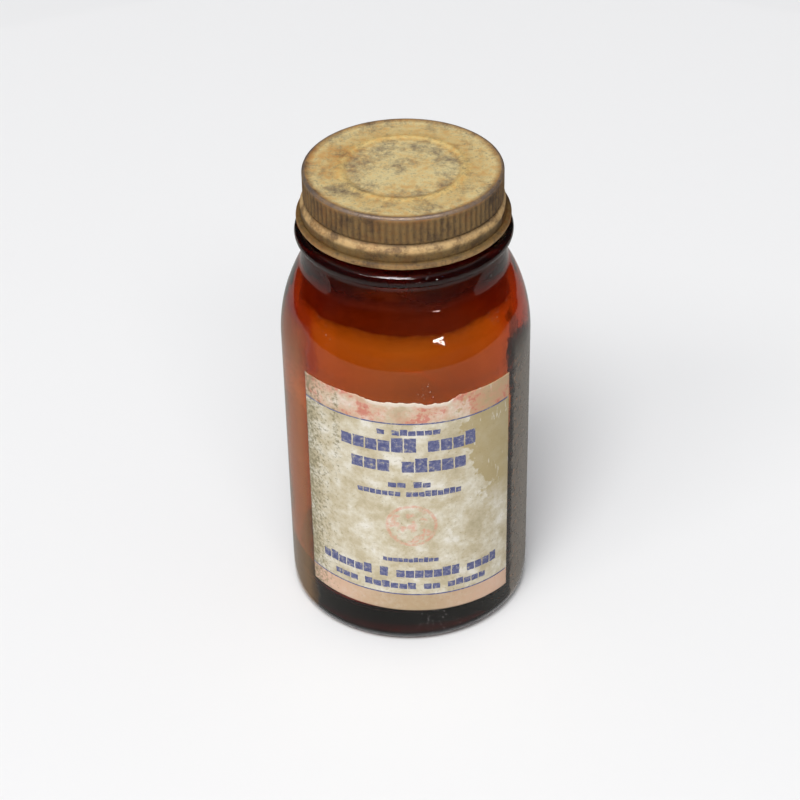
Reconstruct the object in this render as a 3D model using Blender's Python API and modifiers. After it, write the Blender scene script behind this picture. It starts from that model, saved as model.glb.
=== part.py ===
"""Wide-mouth amber glass pharmacy bottle with a pressed tinplate screw cap and a glued paper label.

Metres, +Z up. The origin is the centre of the base, on the bottle's axis, and the label faces -Y.
Angles round the axis are in degrees from +X towards +Y, so the label is centred near -90.
The cap turns on the empty cap_axis, which rides on lift_axis: one turn lifts it by one thread pitch.
"""

import math

import bmesh
import bpy

MM = 0.001
SEGMENTS = 64  # facets round each turned piece
WELD = 0.00002

# Glass body
TOTAL_HEIGHT = 101.7 * MM  # base to the cap's top
BODY_RADIUS = 25.6 * MM
GLASS_WALL = 2.8 * MM
HEEL_RADIUS = 3.0 * MM
REST_RING_INNER = 19.6 * MM  # the flat ring that the bottle stands on runs from here to the heel
PUSH_UP = 1.8 * MM
FLOOR_THICKNESS = 4.4 * MM
INNER_HEEL = 4.2 * MM
SHOULDER_START = 64.2 * MM
SHOULDER_RADIUS = 32.5 * MM
SHOULDER_TURN = 29.8  # degrees that the shoulder curves in before the neck
NECK_FILLET = 3.5 * MM
NECK_SLOPE = 12.0  # degrees that the neck still leans in above the shoulder
NECK_TOP_RADIUS = 19.8 * MM  # where it meets the bead

# Glass finish, for a cap of 38 mm with a single-start thread of six turns to the inch
LIP_HEIGHT = 99.5 * MM
BORE_RADIUS = 15.2 * MM
FINISH_RADIUS = 17.6 * MM
LIP_INNER_ROUND = 1.0 * MM
LIP_OUTER_ROUND = 0.7 * MM
BEAD_HEIGHT = 88.2 * MM
BEAD_RADIUS = 21.85 * MM
BEAD_BULGE = 1.55 * MM
BEAD_HALF_HEIGHT = 1.6 * MM
THREAD_PITCH = 25.4 / 6 * MM
THREAD_ROLL = 1.2 * MM  # radius of the glass ridge, whose centre line lies on the finish
THREAD_FROM = -230.0
THREAD_TO = 120.0

# Tinplate cap
SHEET = 0.28 * MM
CAP_CORNER = 0.6 * MM
KNURL_RADIUS = 19.9 * MM
PANEL_SINK = 0.35 * MM  # the middle of the top lies this much below its outer ring
PANEL_RADIUS = 11.6 * MM
PANEL_STEP = 1.4 * MM
KNURL_END = 5.6 * MM  # depths below the cap's top
GROOVE_DEPTH = 6.05 * MM
GROOVE_RADIUS = 19.3 * MM
SKIRT_START = 7.0 * MM
SKIRT_END = 9.5 * MM
SKIRT_RADIUS = 20.5 * MM
SKIRT_ROWS = 9
CURL_CENTRE_DEPTH = 10.05 * MM
CURL_INSIDE = 0.45 * MM
CURL_RADIUS = 21.4 * MM
CURL_SWEEP = 295  # degrees that the rim is rolled through
PRESS_DEPTH = 1.9 * MM  # the thread rolled into the skirt
PRESS_HALF_WIDTH = 1.4 * MM
PRESS_START_DEPTH = 8.4 * MM
PRESS_FROM = -25.0
PRESS_TO = 200.0
PRESS_FADE_IN = 25.0
PRESS_FADE_OUT = 50.0

# Seal under the cap's top
SEAT_GAP = 0.2 * MM
LINER_THICKNESS = 0.8 * MM
FACING_THICKNESS = 0.15 * MM
LINER_RADIUS = 18.3 * MM

# Paper label
LABEL_GAP = 0.1 * MM
LABEL_THICKNESS = 0.15 * MM
LABEL_BOTTOM = 9.3 * MM
LABEL_TOP = 63.9 * MM
LABEL_FROM = -142.0
LABEL_TO = -37.0
LABEL_SLOPE = -1.3 * MM  # the right edge was stuck on this much lower than the left
LABEL_ROWS = 4


def clear_scene():
    for thing in list(bpy.data.objects):
        bpy.data.objects.remove(thing, do_unlink=True)


def collection(name):
    made = bpy.data.collections.new(name)
    bpy.context.scene.collection.children.link(made)
    return made


def material(name, colour, roughness, metallic=0.0, transmission=0.0):
    made = bpy.data.materials.new(name)
    made.use_nodes = True
    shader = made.node_tree.nodes["Principled BSDF"]
    shader.inputs["Base Color"].default_value = (*colour, 1.0)
    shader.inputs["Roughness"].default_value = roughness
    shader.inputs["Metallic"].default_value = metallic
    shader.inputs["Transmission Weight"].default_value = transmission
    made.diffuse_color = (*colour, 1.0)
    return made


def add_object(name, mesh, home, finish=None):
    made = bpy.data.objects.new(name, mesh)
    home.objects.link(made)
    if finish:
        mesh.materials.append(finish)
    return made


def arc(centre, radius, start, end, steps):
    """Points (r, z) along a round corner; angles in degrees from +r towards +z."""
    points = []
    for step in range(steps + 1):
        angle = math.radians(start + (end - start) * step / steps)
        points.append((centre[0] + radius * math.cos(angle), centre[1] + radius * math.sin(angle)))
    return points


def turned(name, profile, home, finish):
    """A solid of revolution from (r, z) points that run up the inside, then down the outside."""
    mesh = bpy.data.meshes.new(name)
    corners = [(r, 0.0, z) for r, z in profile]
    mesh.from_pydata(corners, [(i, i + 1) for i in range(len(corners) - 1)], [])
    made = add_object(name, mesh, home, finish)
    screw = made.modifiers.new("turn", "SCREW")
    screw.steps = SEGMENTS
    screw.render_steps = SEGMENTS
    screw.use_merge_vertices = True
    screw.merge_threshold = WELD
    screw.use_smooth_shade = True
    return made


def helix(radius, start_angle, end_angle, start_height, step_angle=10.0):
    """Points that climb one thread pitch a turn, anticlockwise seen from above."""
    count = round((end_angle - start_angle) / step_angle)
    points = []
    for step in range(count + 1):
        degrees = start_angle + (end_angle - start_angle) * step / count
        angle = math.radians(degrees)
        height = start_height + THREAD_PITCH * (degrees - start_angle) / 360
        points.append((radius * math.cos(angle), radius * math.sin(angle), height))
    return points


# ---------------------------------------------------------------- bottle


def shoulder_centre():
    return (BODY_RADIUS - SHOULDER_RADIUS, SHOULDER_START)


def neck_centre():
    reach = SHOULDER_RADIUS + NECK_FILLET
    angle = math.radians(SHOULDER_TURN)
    centre = shoulder_centre()
    return (centre[0] + reach * math.cos(angle), centre[1] + reach * math.sin(angle))


def inner_wall():
    """From the middle of the glass floor up to the bore, one wall's thickness inside the outer face."""
    inner_radius = BODY_RADIUS - GLASS_WALL
    floor = PUSH_UP + FLOOR_THICKNESS
    corner = (inner_radius - INNER_HEEL, floor - 0.6 * MM + INNER_HEEL)
    points = [(0.0, floor), (corner[0] * 0.5, floor - 0.15 * MM)]
    points += arc(corner, INNER_HEEL, -90, 0, 4)
    points += arc(shoulder_centre(), SHOULDER_RADIUS - GLASS_WALL, 0, SHOULDER_TURN, 6)
    points += arc(neck_centre(), NECK_FILLET + GLASS_WALL, 180 + SHOULDER_TURN, 180, 2)[1:]
    neck_radius = points[-1][0]
    narrow_from, narrow_to = 84.0 * MM, 90.0 * MM
    for step in range(5):
        share = step / 4
        ease = share * share * (3 - 2 * share)
        radius = neck_radius + (BORE_RADIUS - neck_radius) * ease
        points.append((radius, narrow_from + (narrow_to - narrow_from) * share))
    return points


def lip_and_finish():
    """Over the rounded lip and down the plain finish to the top of the transfer bead."""
    inner = (BORE_RADIUS + LIP_INNER_ROUND, LIP_HEIGHT - LIP_INNER_ROUND)
    outer = (FINISH_RADIUS - LIP_OUTER_ROUND, LIP_HEIGHT - LIP_OUTER_ROUND)
    points = arc(inner, LIP_INNER_ROUND, 180, 90, 3)
    points += arc(outer, LIP_OUTER_ROUND, 90, 0, 2)
    root = 0.6 * MM
    bead_top = BEAD_HEIGHT + BEAD_HALF_HEIGHT
    points += arc((FINISH_RADIUS + root, bead_top + root), root, 180, 270, 2)
    return points


def bead_to_body():
    """Round the transfer bead, down the neck and out over the shoulder."""
    middle = BEAD_RADIUS - BEAD_BULGE
    last = -math.degrees(math.acos((NECK_TOP_RADIUS - middle) / BEAD_BULGE))
    points = []
    for step in range(9):
        angle = math.radians(90 + (last - 90) * step / 8)
        radius = middle + BEAD_BULGE * math.cos(angle)
        points.append((radius, BEAD_HEIGHT + BEAD_HALF_HEIGHT * math.sin(angle)))
    points += arc(neck_centre(), NECK_FILLET, 180 + NECK_SLOPE, 180 + SHOULDER_TURN, 3)
    points += arc(shoulder_centre(), SHOULDER_RADIUS, SHOULDER_TURN, 0, 7)[1:]
    return points


def heel_and_base():
    """Round the heel, across the flat rest ring and up into the push-up."""
    points = arc((BODY_RADIUS - HEEL_RADIUS, HEEL_RADIUS), HEEL_RADIUS, 0, -90, 5)
    for share in (1.0, 0.93, 0.8, 0.55, 0.3, 0.0):
        points.append((REST_RING_INNER * share, PUSH_UP * (1 - share**4)))
    return points


def thread_ridge(home):
    """The glass thread as a closed round roll with run-out ends, made a mesh so that it can be joined."""
    lowest = TOTAL_HEIGHT - PRESS_START_DEPTH + THREAD_PITCH / 2
    lowest += THREAD_PITCH * (THREAD_FROM - PRESS_FROM) / 360
    path = helix(FINISH_RADIUS, THREAD_FROM, THREAD_TO, lowest)
    curve = bpy.data.curves.new("thread_path", "CURVE")
    curve.dimensions = "3D"
    curve.bevel_depth = THREAD_ROLL
    curve.bevel_resolution = 2
    curve.use_fill_caps = True
    spline = curve.splines.new("POLY")
    spline.points.add(len(path) - 1)
    for index, (point, place) in enumerate(zip(spline.points, path)):
        point.co = (*place, 1.0)
        from_end = min(index, len(path) - 1 - index)
        point.radius = min(1.0, 0.45 + 0.15 * from_end)
    guide = add_object("thread_path", curve, home)
    bpy.context.view_layer.update()
    evaluated = guide.evaluated_get(bpy.context.evaluated_depsgraph_get())
    mesh = bpy.data.meshes.new_from_object(evaluated)
    bpy.data.objects.remove(guide, do_unlink=True)
    roll = bmesh.new()
    roll.from_mesh(mesh)
    bmesh.ops.remove_doubles(roll, verts=roll.verts, dist=WELD)
    bmesh.ops.recalc_face_normals(roll, faces=roll.faces)
    roll.to_mesh(mesh)
    roll.free()
    return hide_as_cutter(add_object("thread_ridge", mesh, home))


def hide_as_cutter(helper):
    helper.hide_render = True
    helper.display_type = "WIRE"
    return helper


def build_bottle(parts, cutters):
    glass = material("amber_glass", (0.35, 0.10, 0.02), 0.08, transmission=0.85)
    profile = inner_wall() + lip_and_finish() + bead_to_body() + heel_and_base()
    bottle = turned("bottle", profile, parts, glass)
    join = bottle.modifiers.new("thread", "BOOLEAN")
    join.operation = "UNION"
    join.solver = "EXACT"
    join.object = thread_ridge(cutters)
    return bottle


# ---------------------------------------------------------------- cap


def cap_top_and_grip():
    """Sunk panel, raised ring, round corner and grip band, in (r, depth below the top)."""
    points = [(0.0, PANEL_SINK), (PANEL_RADIUS * 0.5, PANEL_SINK), (PANEL_RADIUS, PANEL_SINK)]
    points += [(PANEL_RADIUS + PANEL_STEP * 0.5, PANEL_SINK * 0.35), (PANEL_RADIUS + PANEL_STEP, 0.0)]
    points.append((PANEL_RADIUS + 3 * PANEL_STEP, 0.0))
    corner = arc((KNURL_RADIUS - CAP_CORNER, -CAP_CORNER), CAP_CORNER, 90, 0, 4)
    points += [(r, -z) for r, z in corner]
    points.append((KNURL_RADIUS, KNURL_END))
    return points


def cap_skirt_and_curl():
    """Groove under the grip band, ledge, straight skirt and the rim rolled outwards and back up."""
    points = [(GROOVE_RADIUS, GROOVE_DEPTH), (GROOVE_RADIUS + 0.45 * MM, GROOVE_DEPTH + 0.4 * MM)]
    for row in range(SKIRT_ROWS):
        points.append((SKIRT_RADIUS, SKIRT_START + (SKIRT_END - SKIRT_START) * row / (SKIRT_ROWS - 1)))
    centre_radius = CURL_RADIUS - CURL_INSIDE - SHEET
    roll = arc((centre_radius, -CURL_CENTRE_DEPTH), CURL_INSIDE, 180, 180 + CURL_SWEEP, 7)
    points += [(r, -z) for r, z in roll]
    return points


def press_share(degrees):
    """How deep the rolled thread is at this angle: none before it starts, full, then fading out."""
    fade_in = (degrees - PRESS_FROM) / PRESS_FADE_IN
    fade_out = (PRESS_TO - degrees) / PRESS_FADE_OUT
    share = max(0.0, min(1.0, fade_in, fade_out))
    return share * share * (3 - 2 * share)


def press_thread(vertex):
    """Moves a skirt vertex in where the rolled thread passes."""
    depth = TOTAL_HEIGHT - vertex.co.z
    if not GROOVE_DEPTH <= depth <= SKIRT_END:
        return
    degrees = math.degrees(math.atan2(vertex.co.y, vertex.co.x))
    if degrees < PRESS_FROM:
        degrees += 360
    centre_depth = PRESS_START_DEPTH - THREAD_PITCH * (degrees - PRESS_FROM) / 360
    away = min(1.0, abs(depth - centre_depth) / PRESS_HALF_WIDTH)
    pressed = PRESS_DEPTH * press_share(degrees) * math.cos(away * math.pi / 2) ** 2
    radius = math.hypot(vertex.co.x, vertex.co.y)
    scale = min(1.0, (SKIRT_RADIUS - pressed) / radius)
    vertex.co.x *= scale
    vertex.co.y *= scale


def build_cap(parts):
    """The cap's outer face is spun from its profile, the thread is pressed in, and the sheet gets its gauge."""
    tin = material("rusted_tinplate", (0.36, 0.24, 0.11), 0.75, metallic=0.35)
    sheet = bmesh.new()
    profile = cap_top_and_grip() + cap_skirt_and_curl()
    chain = [sheet.verts.new((r, 0.0, TOTAL_HEIGHT - depth)) for r, depth in profile]
    edges = [sheet.edges.new(pair) for pair in zip(chain, chain[1:])]
    bmesh.ops.spin(
        sheet,
        geom=chain + edges,
        cent=(0, 0, 0),
        axis=(0, 0, 1),
        angle=2 * math.pi,
        steps=SEGMENTS,
        use_merge=True,
    )
    bmesh.ops.remove_doubles(sheet, verts=sheet.verts, dist=WELD)
    sheet.normal_update()
    top_face = max(sheet.faces, key=lambda face: face.calc_center_median().z)
    if top_face.normal.z < 0:
        bmesh.ops.reverse_faces(sheet, faces=sheet.faces)
    for vertex in sheet.verts:
        press_thread(vertex)
    mesh = bpy.data.meshes.new("cap_shell")
    sheet.to_mesh(mesh)
    sheet.free()
    shell = add_object("cap_shell", mesh, parts, tin)
    gauge = shell.modifiers.new("gauge", "SOLIDIFY")
    gauge.thickness = SHEET
    gauge.offset = -1.0
    gauge.use_even_offset = True
    mesh.shade_smooth()
    mesh.set_sharp_from_angle(angle=math.radians(40))
    return shell


# ---------------------------------------------------------------- seal and label


def disc(name, top, thickness, parts, finish):
    profile = [(0.0, top), (LINER_RADIUS, top), (LINER_RADIUS, top - thickness), (0.0, top - thickness)]
    return turned(name, profile, parts, finish)


def build_seal(parts):
    """Pulpboard liner and its waxed facing, stacked between the cap's panel and the glass lip."""
    pulp = material("pulpboard", (0.55, 0.45, 0.30), 0.95)
    waxed = material("waxed_paper", (0.78, 0.72, 0.58), 0.45)
    liner_top = TOTAL_HEIGHT - PANEL_SINK - SHEET - SEAT_GAP
    facing_top = liner_top - LINER_THICKNESS - SEAT_GAP
    liner = disc("cap_liner", liner_top, LINER_THICKNESS, parts, pulp)
    facing = disc("liner_facing", facing_top, FACING_THICKNESS, parts, waxed)
    return liner, facing


def label_angles():
    """The label's edges and every facet line of the glass between them, so that the sheets lie parallel."""
    facet = 360 / SEGMENTS
    first = math.ceil(LABEL_FROM / facet + 0.1)
    last = math.floor(LABEL_TO / facet - 0.1)
    return [LABEL_FROM] + [facet * index for index in range(first, last + 1)] + [LABEL_TO]


def build_label(parts):
    """A flat grid wrapped round the body, then given the paper's thickness."""
    paper = material("aged_paper", (0.62, 0.53, 0.37), 0.85)
    angles = label_angles()
    sheet = bmesh.new()
    bmesh.ops.create_grid(sheet, x_segments=len(angles) - 1, y_segments=LABEL_ROWS, size=1.0)
    radius = BODY_RADIUS + LABEL_GAP + LABEL_THICKNESS
    for vertex in sheet.verts:
        column = round((vertex.co.x + 1) / 2 * (len(angles) - 1))
        across = (angles[column] - LABEL_FROM) / (LABEL_TO - LABEL_FROM)
        up = (vertex.co.y + 1) / 2
        turn = math.radians(angles[column])
        height = LABEL_BOTTOM + (LABEL_TOP - LABEL_BOTTOM) * up + LABEL_SLOPE * (across - 0.5)
        vertex.co = (radius * math.cos(turn), radius * math.sin(turn), height)
    sheet.normal_update()
    face = next(iter(sheet.faces))
    if face.normal.dot(face.calc_center_median()) < 0:
        bmesh.ops.reverse_faces(sheet, faces=sheet.faces)
    mesh = bpy.data.meshes.new("front_label")
    sheet.to_mesh(mesh)
    sheet.free()
    label = add_object("front_label", mesh, parts, paper)
    thick = label.modifiers.new("paper", "SOLIDIFY")
    thick.thickness = LABEL_THICKNESS
    thick.offset = -1.0
    return label


def add_axis(name, home, parent=None):
    """An empty on the bottle's axis at the height of the lip, where the cap's motion is measured."""
    empty = bpy.data.objects.new(name, None)
    home.objects.link(empty)
    empty.empty_display_size = 10 * MM
    if parent:
        empty.parent = parent
    else:
        empty.location = (0.0, 0.0, LIP_HEIGHT)
    return empty


def hang(piece, empty):
    """Parents a piece to an axis empty without moving it."""
    piece.parent = empty
    piece.matrix_parent_inverse = empty.matrix_world.inverted()


def main():
    clear_scene()
    parts = collection("pharmacy_bottle")
    cutters = collection("cutters")
    build_bottle(parts, cutters)
    build_label(parts)
    liner, facing = build_seal(parts)
    shell = build_cap(parts)
    lift_axis = add_axis("lift_axis", parts)
    cap_axis = add_axis("cap_axis", parts, lift_axis)
    bpy.context.view_layer.update()
    for piece in (liner, facing):
        hang(piece, lift_axis)
    hang(shell, cap_axis)


main()
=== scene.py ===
"""An old amber pharmacy bottle with a rusted tinplate cap and a worn paper label, on a pale table.

Everything is in metres in the frame of the solid model: +Z up, the base's centre at the origin, the label
towards -Y. Azimuths are in degrees from the label's side (-Y) towards +X, so 90 is the bottle's right side.
"""

import math
import random

import bmesh
import bpy
from mathutils import Matrix, Vector, noise


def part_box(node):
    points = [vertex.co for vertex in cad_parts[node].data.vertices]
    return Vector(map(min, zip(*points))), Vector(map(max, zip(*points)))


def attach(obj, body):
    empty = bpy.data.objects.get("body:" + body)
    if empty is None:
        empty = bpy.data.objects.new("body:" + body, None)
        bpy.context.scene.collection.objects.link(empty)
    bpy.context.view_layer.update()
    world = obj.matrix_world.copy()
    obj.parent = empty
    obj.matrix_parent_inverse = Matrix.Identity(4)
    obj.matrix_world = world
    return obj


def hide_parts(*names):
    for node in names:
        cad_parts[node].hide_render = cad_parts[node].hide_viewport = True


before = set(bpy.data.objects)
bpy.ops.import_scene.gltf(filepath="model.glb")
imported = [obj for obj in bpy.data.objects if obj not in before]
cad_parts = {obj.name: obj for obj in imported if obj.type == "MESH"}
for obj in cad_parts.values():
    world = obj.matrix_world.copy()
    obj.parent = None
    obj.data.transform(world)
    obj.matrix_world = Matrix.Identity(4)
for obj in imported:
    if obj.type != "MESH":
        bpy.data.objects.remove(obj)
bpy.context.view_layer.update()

MM = 0.001
WELD = 0.005 * MM


# ---------------------------------------------------------------- helpers


def place(azimuth, radius, height):
    """The point at this azimuth in degrees, this far from the axis and this high."""
    turn = math.radians(azimuth)
    return Vector((radius * math.sin(turn), -radius * math.cos(turn), height))


def azimuth_of(point):
    return math.degrees(math.atan2(point.x, -point.y))


def smooth(share):
    """0 to 1 with flat ends."""
    share = max(0.0, min(1.0, share))
    return share * share * (3 - 2 * share)


def arc(centre, radius, start, end, steps):
    """Points (r, z) along a round corner; angles in degrees from +r towards +z."""
    points = []
    for step in range(steps + 1):
        angle = math.radians(start + (end - start) * step / steps)
        points.append((centre[0] + radius * math.cos(angle), centre[1] + radius * math.sin(angle)))
    return points


def run(start, end, steps):
    """Points (r, z) along a straight line, without its first."""
    points = []
    for step in range(1, steps + 1):
        share = step / steps
        points.append((start[0] + (end[0] - start[0]) * share, start[1] + (end[1] - start[1]) * share))
    return points


def spun(profile, steps):
    """A bmesh turned round the axis from (r, z) points, its seam and poles closed."""
    shape = bmesh.new()
    chain = [shape.verts.new((r, 0.0, z)) for r, z in profile]
    edges = [shape.edges.new(pair) for pair in zip(chain, chain[1:])]
    bmesh.ops.spin(
        shape,
        geom=chain + edges,
        cent=(0, 0, 0),
        axis=(0, 0, 1),
        angle=2 * math.pi,
        steps=steps,
        use_merge=True,
    )
    bmesh.ops.remove_doubles(shape, verts=shape.verts, dist=WELD)
    return shape


def object_from(name, shape, finish):
    """Turns a bmesh into an object of the scene with one finish."""
    mesh = bpy.data.meshes.new(name)
    shape.to_mesh(mesh)
    shape.free()
    mesh.materials.append(finish)
    made = bpy.data.objects.new(name, mesh)
    bpy.context.scene.collection.objects.link(made)
    return made


def piece(name, shape, finish, body, stands_for=None):
    """Makes a smooth piece of the bottle from its bmesh and hands it to the frame."""
    made = object_from(name, shape, finish)
    made.data.shade_smooth()
    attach(made, body)
    if stands_for:
        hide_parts(stands_for)
    return made


def linear(code):
    """A hex colour as the eye sees it, turned to the linear numbers that shaders use."""
    values = [int(code[i : i + 2], 16) / 255 for i in (1, 3, 5)]
    return [v / 12.92 if v <= 0.04045 else ((v + 0.055) / 1.055) ** 2.4 for v in values] + [1.0]


def feed(tree, made, inputs):
    """Gives a node its inputs, each a value, a hex colour, a node or one of a node's outputs."""
    for name, value in inputs.items():
        if isinstance(value, bpy.types.Node):
            value = next(out for out in value.outputs if not out.is_unavailable)
        if isinstance(value, bpy.types.NodeSocket):
            tree.links.new(value, made.inputs[name])
        else:
            made.inputs[name].default_value = linear(value) if isinstance(value, str) else value


def node(tree, kind, inputs=None, stops=None, **settings):
    """Adds a node with its properties, its colour stops and its inputs."""
    made = tree.nodes.new(kind)
    for name, value in settings.items():
        setattr(made, name, value)
    if stops:
        ramp = made.color_ramp.elements
        while len(ramp) < len(stops):
            ramp.new(1.0)
        for element, (position, shade) in zip(ramp, stops):
            element.position = position
            element.color = linear(shade) if isinstance(shade, str) else (shade, shade, shade, 1.0)
    feed(tree, made, inputs or {})
    return made


def new_finish(name):
    """An empty material: itself, its node tree and its shader, which the output already shows."""
    made = bpy.data.materials.new(name)
    made.use_nodes = True
    tree = made.node_tree
    tree.nodes.clear()
    shader = node(tree, "ShaderNodeBsdfPrincipled")
    node(tree, "ShaderNodeOutputMaterial", {"Surface": shader}, name="output")
    return made, tree, shader


def reach_from_axis(tree, parts):
    """How far the shaded point lies from the bottle's axis, in metres."""
    flat = node(tree, "ShaderNodeCombineXYZ", {0: parts.outputs["X"], 1: parts.outputs["Y"]})
    return node(tree, "ShaderNodeVectorMath", {0: flat}, operation="LENGTH").outputs["Value"]


# ---------------------------------------------------------------- sizes

bottle_low, bottle_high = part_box("bottle")
cap_low, cap_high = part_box("cap_shell")
BODY_RADIUS = bottle_high.x
LIP_HEIGHT = bottle_high.z
TOP = cap_high.z

GLASS_STEPS = 192
GLASS_WALL = 2.8 * MM
HEEL_RADIUS = 3.0 * MM
REST_RING_INNER = 19.6 * MM
PUSH_UP = 1.8 * MM
FLOOR_THICKNESS = 4.4 * MM
INNER_HEEL = 4.2 * MM
SHOULDER_START = 64.2 * MM
SHOULDER_RADIUS = 32.5 * MM
SHOULDER_TURN = 29.8
NECK_FILLET = 3.5 * MM
NECK_SLOPE = 12.0  # degrees that the neck still leans in above the shoulder
NECK_TOP_RADIUS = 19.8 * MM  # where it meets the bead
BORE_RADIUS = 15.2 * MM
FINISH_RADIUS = 17.6 * MM
BEAD_HEIGHT = 88.2 * MM
BEAD_RADIUS = 21.85 * MM
BEAD_BULGE = 1.55 * MM
BEAD_HALF_HEIGHT = 1.6 * MM
THREAD_PITCH = 25.4 / 6 * MM
THREAD_ROLL = 1.2 * MM
THREAD_FROM = -140.0  # azimuth where the glass thread starts, at its lowest
THREAD_TURN = 350.0
THREAD_FADE = 25.0  # degrees over which either end of the thread rises
SWAY_WIDTH, SWAY = 14 * MM, 0.2 * MM  # the inner face's slow waves
RIPPLE_WIDTH, RIPPLE = 5 * MM, 0.04 * MM  # and its fine ones
BODY_THINNER = 1.1 * MM  # the body is blown thinner than the shoulder and the floor
# painted shade on the neck's inner face starts at this height
NECK_SHADE_FROM = 71 * MM
NECK_SHADE_RISE = 15 * MM  # full this much higher
GLASS_IOR = 1.52
AMBER_LEAVES = (0.886, 0.60, 0.06, 1.0)  # the lower a colour here, the more of it the glass takes
AMBER_DENSITY = 1250.0


# ---------------------------------------------------------------- glass


def shoulder_centre():
    return (BODY_RADIUS - SHOULDER_RADIUS, SHOULDER_START)


def neck_centre():
    reach = SHOULDER_RADIUS + NECK_FILLET
    angle = math.radians(SHOULDER_TURN)
    centre = shoulder_centre()
    return (centre[0] + reach * math.cos(angle), centre[1] + reach * math.sin(angle))


def glass_inside():
    """From the middle of the glass floor up the wall to the bore."""
    inner_radius = BODY_RADIUS - GLASS_WALL
    floor = PUSH_UP + FLOOR_THICKNESS
    corner = (inner_radius - INNER_HEEL, floor - 0.6 * MM + INNER_HEEL)
    points = [(0.0, floor)]
    points += [(corner[0] * share, floor - 0.6 * MM * share**3) for share in (0.2, 0.4, 0.6, 0.8)]
    points += arc(corner, INNER_HEEL, -90, 0, 10)
    points += run(points[-1], (inner_radius, SHOULDER_START), 24)
    points += arc(shoulder_centre(), SHOULDER_RADIUS - GLASS_WALL, 0, SHOULDER_TURN, 16)[1:]
    points += arc(neck_centre(), NECK_FILLET + GLASS_WALL, 180 + SHOULDER_TURN, 180, 5)[1:]
    neck_radius = points[-1][0]
    narrow_from, narrow_to = 84.0 * MM, 90.0 * MM
    for step in range(11):
        share = step / 10
        radius = neck_radius + (BORE_RADIUS - neck_radius) * smooth(share)
        points.append((radius, narrow_from + (narrow_to - narrow_from) * share))
    return points


def glass_outside():
    """Over the lip, down the finish, round the bead, over the shoulder and down to the push-up."""
    lip_inner, lip_outer, root = 1.0 * MM, 0.7 * MM, 0.6 * MM
    bead_top = BEAD_HEIGHT + BEAD_HALF_HEIGHT
    points = arc((BORE_RADIUS + lip_inner, LIP_HEIGHT - lip_inner), lip_inner, 180, 90, 6)
    points += arc((FINISH_RADIUS - lip_outer, LIP_HEIGHT - lip_outer), lip_outer, 90, 0, 5)
    points += run(points[-1], (FINISH_RADIUS, bead_top + root), 34)
    points += arc((FINISH_RADIUS + root, bead_top + root), root, 180, 270, 4)[1:]
    middle = BEAD_RADIUS - BEAD_BULGE
    last = -math.degrees(math.acos((NECK_TOP_RADIUS - middle) / BEAD_BULGE))
    for step in range(17):
        angle = math.radians(90 + (last - 90) * step / 16)
        radius = middle + BEAD_BULGE * math.cos(angle)
        points.append((radius, BEAD_HEIGHT + BEAD_HALF_HEIGHT * math.sin(angle)))
    neck_foot = arc(neck_centre(), NECK_FILLET, 180 + NECK_SLOPE, 180 + SHOULDER_TURN, 6)
    points += run(points[-1], neck_foot[0], 4) + neck_foot[1:]
    points += arc(shoulder_centre(), SHOULDER_RADIUS, SHOULDER_TURN, 0, 20)[1:]
    points += run(points[-1], (BODY_RADIUS, HEEL_RADIUS), 24)
    points += arc((BODY_RADIUS - HEEL_RADIUS, HEEL_RADIUS), HEEL_RADIUS, 0, -90, 12)[1:]
    for share in (1.0, 0.97, 0.92, 0.84, 0.72, 0.56, 0.36, 0.18, 0.0):
        points.append((REST_RING_INNER * share, PUSH_UP * (1 - share**4)))
    return points


def raise_thread(vertex):
    """Swells the plain finish out into the round thread where the helix passes."""
    radius = math.hypot(vertex.co.x, vertex.co.y)
    bead_top = BEAD_HEIGHT + BEAD_HALF_HEIGHT
    if radius < FINISH_RADIUS - 0.01 * MM or vertex.co.z < bead_top or radius > FINISH_RADIUS + MM:
        return
    turned = (azimuth_of(vertex.co) - THREAD_FROM) % 360
    lowest = TOP - PRESS_START_DEPTH + THREAD_PITCH / 2 + THREAD_PITCH * (THREAD_FROM - 65.0) / 360
    away = abs(vertex.co.z - lowest - THREAD_PITCH * turned / 360) / THREAD_ROLL
    if turned > THREAD_TURN or away >= 1:
        return
    fade = smooth(min(turned, THREAD_TURN - turned) / THREAD_FADE)
    swell = 1 + fade * THREAD_ROLL * math.sqrt(1 - away * away) / radius
    vertex.co.x *= swell
    vertex.co.y *= swell


def wave_inside(vertex):
    """Blown glass is never even: the inner face wanders a little, which bends what is seen through it."""
    radius = math.hypot(vertex.co.x, vertex.co.y)
    if radius < 2 * MM or vertex.co.z > 84 * MM or vertex.co.z < 5 * MM:
        return
    if radius > BODY_RADIUS - 0.6 * GLASS_WALL:
        return
    if vertex.co.z > SHOULDER_START and radius > 0.93 * BODY_RADIUS:
        return
    in_body = smooth((62 * MM - vertex.co.z) / (8 * MM)) * smooth((vertex.co.z - 8 * MM) / (5 * MM))
    thinner = BODY_THINNER * in_body * smooth((radius - 15 * MM) / (6 * MM))
    sway = noise.noise(vertex.co / SWAY_WIDTH) * SWAY + noise.noise(vertex.co / RIPPLE_WIDTH) * RIPPLE
    vertex.co.x *= 1 + (sway + thinner) / radius
    vertex.co.y *= 1 + (sway + thinner) / radius


def painted_neck_shade(point):
    """How much painted shade darkens the inner face here: none low in the shoulder, all at the bead."""
    radius = math.hypot(point.x, point.y)
    climb = min(point.z, 84 * MM) - SHOULDER_START
    if climb < 0:
        return 0.0
    middle = BODY_RADIUS - SHOULDER_RADIUS + math.sqrt((SHOULDER_RADIUS - GLASS_WALL / 2) ** 2 - climb**2)
    limit = BORE_RADIUS + MM if point.z > 89.5 * MM else max(middle, 18.7 * MM)
    return smooth((point.z - NECK_SHADE_FROM) / NECK_SHADE_RISE) ** 1.7 if radius < limit else 0.0


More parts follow.
